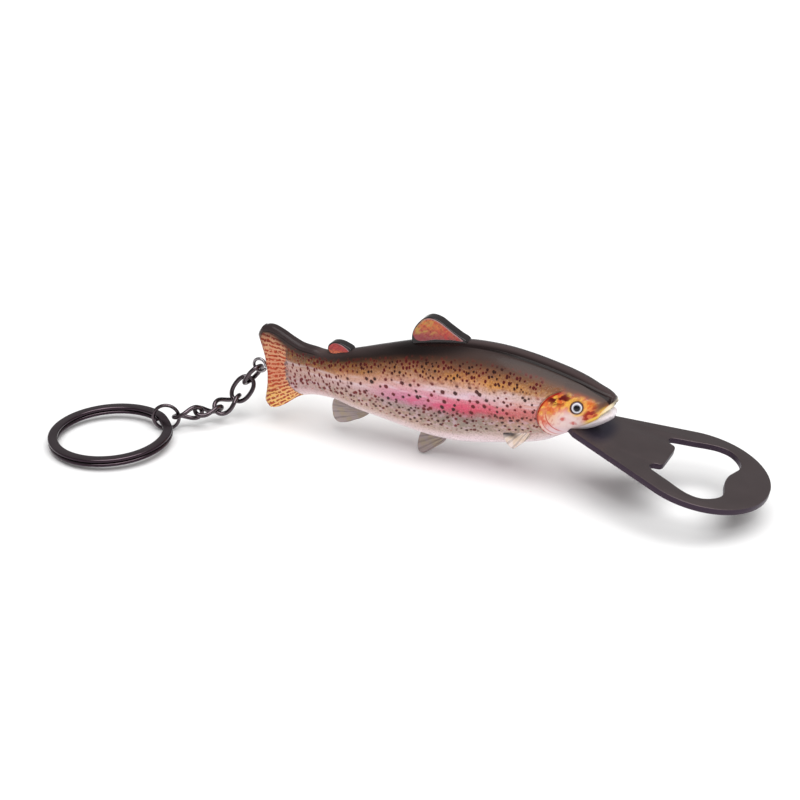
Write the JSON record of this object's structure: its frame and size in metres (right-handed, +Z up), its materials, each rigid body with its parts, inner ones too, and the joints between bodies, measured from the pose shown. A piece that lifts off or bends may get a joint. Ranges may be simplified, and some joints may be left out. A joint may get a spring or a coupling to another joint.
{
  "type": "bottle opener keychain",
  "caption": "Souvenir trout bottle opener: a cast fish with a flat steel cap-lifter blade under its jaw and a key ring on a short chain at its tail.",
  "frame": {"origin": "centre of the bounding box at its base, on the ground under the key ring", "axes": "+X along the fish from tail to snout and blade, +Z up, -Y towards the fish's right flank"},
  "size_m": [0.1692, 0.0582, 0.0364],
  "materials": {
    "painted_resin": "glossy paint: dark back, pink stripe, spots",
    "black_fin": "gloss black",
    "orange_panel": "mottled orange and dark red",
    "smoky_fin": "smoky grey with fine rays",
    "eye": "gloss black pupil in a pale ring",
    "blade_coat": "satin black coating on steel",
    "black_nickel": "black nickel plating",
    "bright_wire": "bright plated steel wire"
  },
  "bodies": {
    "trout": {"fish_body": "painted_resin", "opener_blade": "blade_coat", "screw_eye": "bright_wire", "dorsal_fin": "black_fin", "dorsal_inlay_right": "orange_panel", "dorsal_inlay_left": "orange_panel", "adipose_fin": "black_fin", "adipose_inlay_right": "orange_panel", "adipose_inlay_left": "orange_panel", "anal_fin": "smoky_fin", "pelvic_fin": "smoky_fin", "pectoral_fin_right": "smoky_fin", "pectoral_fin_left": "smoky_fin", "eye_right": "eye", "eye_left": "eye"},
    "chain_link_1": {"chain_link_1": "black_nickel"},
    "chain_link_2": {"chain_link_2": "black_nickel"},
    "chain_link_3": {"chain_link_3": "black_nickel"},
    "chain_link_4": {"chain_link_4": "black_nickel"},
    "chain_link_5": {"chain_link_5": "black_nickel"},
    "jump_ring": {"jump_ring": "black_nickel"},
    "split_ring": {"split_ring": "black_nickel"}
  },
  "joints": [
    {"name": "eyelet_to_link_1", "type": "hinge", "parent": "trout", "child": "chain_link_1", "pos_m": [-0.04403, 0.01312, 0.01351], "axis": [0.8137, 0, -0.5812], "range_deg": [-35, 35]},
    {"name": "link_1_to_link_2", "type": "hinge", "parent": "chain_link_1", "child": "chain_link_2", "pos_m": [-0.04729, 0.01375, 0.00906], "axis": [0.1951, 0.9805, -0.0232], "range_deg": [-35, 35]},
    {"name": "link_2_to_link_3", "type": "hinge", "parent": "chain_link_2", "child": "chain_link_3", "pos_m": [-0.04936, 0.011, 0.00502], "axis": [-0.8681, -0.0408, 0.4948], "range_deg": [-35, 35]},
    {"name": "link_3_to_link_4", "type": "hinge", "parent": "chain_link_3", "child": "chain_link_4", "pos_m": [-0.05199, 0.00599, 0.00371], "axis": [-0.7036, 0.1371, 0.6972], "range_deg": [-35, 35]},
    {"name": "link_4_to_link_5", "type": "hinge", "parent": "chain_link_4", "child": "chain_link_5", "pos_m": [-0.05519, 0.00178, 0.00441], "axis": [-0.7668, 0.5854, 0.2633], "range_deg": [-35, 35]},
    {"name": "link_5_to_jump_ring", "type": "hinge", "parent": "chain_link_5", "child": "jump_ring", "pos_m": [-0.05943, -0.0015, 0.00372], "axis": [0.5865, -0.7532, 0.2979], "range_deg": [-35, 35]},
    {"name": "jump_ring_to_split_ring", "type": "hinge", "parent": "jump_ring", "child": "split_ring", "pos_m": [-0.06171, -0.00281, 0.00298], "axis": [-0.8192, 0.5736, -0.0011], "range_deg": [-25, 30]}
  ]
}
